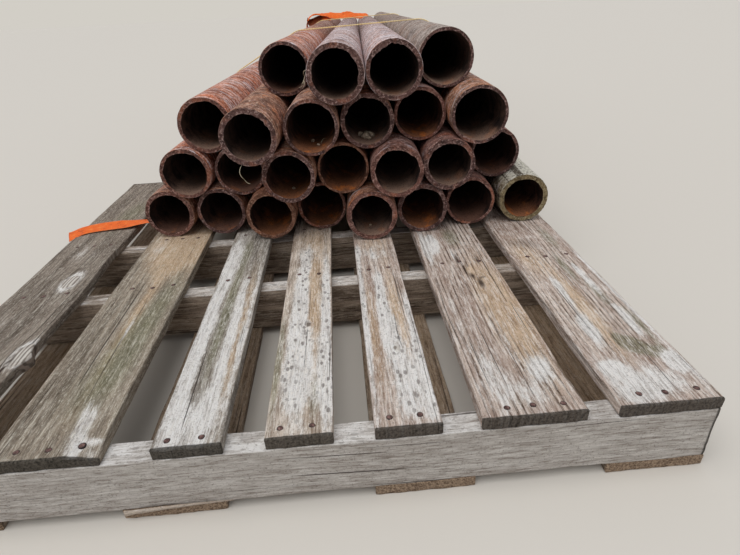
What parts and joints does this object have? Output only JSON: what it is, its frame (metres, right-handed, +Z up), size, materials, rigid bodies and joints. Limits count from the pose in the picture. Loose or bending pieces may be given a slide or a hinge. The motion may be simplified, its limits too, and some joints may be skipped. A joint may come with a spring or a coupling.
{
  "type": "bundle of iron pipes on wooden pallets",
  "caption": "Nested pile of rusty round iron pipes lying across two weathered wooden pallets, tied with yellow twine and an orange webbing strap.",
  "frame": {"origin": "on the ground, midway between the two pallets", "axes": "+Y along the pipes, away from the front ends that the picture shows; +X to the right seen from the front; +Z up"},
  "size_m": [1.1968, 4.3348, 0.562],
  "materials": {
    "rusted_iron": "rough, dark purplish-brown rust with lighter orange rust and scale",
    "weathered_wood": "sawn softwood, weathered grey-brown, with pale flaking patches",
    "twine": "twisted yellow twine",
    "orange_webbing": "woven orange webbing, matt"
  },
  "bodies": {
    "root": {"bottom_row_pipe_1": "rusted_iron", "bottom_row_pipe_2": "rusted_iron", "bottom_row_pipe_3": "rusted_iron", "bottom_row_pipe_4": "rusted_iron", "bottom_row_pipe_5": "rusted_iron", "bottom_row_pipe_6": "rusted_iron", "bottom_row_pipe_7": "rusted_iron", "bottom_row_pipe_8": "rusted_iron", "far_pallet_bottom_board_1": "weathered_wood", "far_pallet_bottom_board_2": "weathered_wood", "far_pallet_bottom_board_3": "weathered_wood", "far_pallet_bottom_board_4": "weathered_wood", "far_pallet_deck_board_1": "weathered_wood", "far_pallet_deck_board_2": "weathered_wood", "far_pallet_deck_board_3": "weathered_wood", "far_pallet_deck_board_4": "weathered_wood", "far_pallet_deck_board_5": "weathered_wood", "far_pallet_deck_board_6": "weathered_wood", "far_pallet_deck_board_7": "weathered_wood", "far_pallet_stringer_1": "weathered_wood", "far_pallet_stringer_2": "weathered_wood", "far_pallet_stringer_3": "weathered_wood", "far_pallet_stringer_4": "weathered_wood", "front_twine": "twine", "near_pallet_bottom_board_1": "weathered_wood", "near_pallet_bottom_board_2": "weathered_wood", "near_pallet_bottom_board_3": "weathered_wood", "near_pallet_bottom_board_4": "weathered_wood", "near_pallet_deck_board_1": "weathered_wood", "near_pallet_deck_board_2": "weathered_wood", "near_pallet_deck_board_3": "weathered_wood", "near_pallet_deck_board_4": "weathered_wood", "near_pallet_deck_board_5": "weathered_wood", "near_pallet_deck_board_6": "weathered_wood", "near_pallet_deck_board_7": "weathered_wood", "near_pallet_stringer_1": "weathered_wood", "near_pallet_stringer_2": "weathered_wood", "near_pallet_stringer_3": "weathered_wood", "near_pallet_stringer_4": "weathered_wood", "rear_twine": "twine", "second_row_pipe_1": "rusted_iron", "second_row_pipe_2": "rusted_iron", "second_row_pipe_3": "rusted_iron", "second_row_pipe_4": "rusted_iron", "second_row_pipe_5": "rusted_iron", "second_row_pipe_6": "rusted_iron", "second_row_pipe_7": "rusted_iron", "strap_slack": "orange_webbing", "strap_tail": "orange_webbing", "third_row_pipe_1": "rusted_iron", "third_row_pipe_2": "rusted_iron", "third_row_pipe_3": "rusted_iron", "third_row_pipe_4": "rusted_iron", "third_row_pipe_5": "rusted_iron", "third_row_pipe_6": "rusted_iron", "top_row_pipe_1": "rusted_iron", "top_row_pipe_2": "rusted_iron", "top_row_pipe_3": "rusted_iron", "top_row_pipe_4": "rusted_iron"}
  },
  "joints": []
}
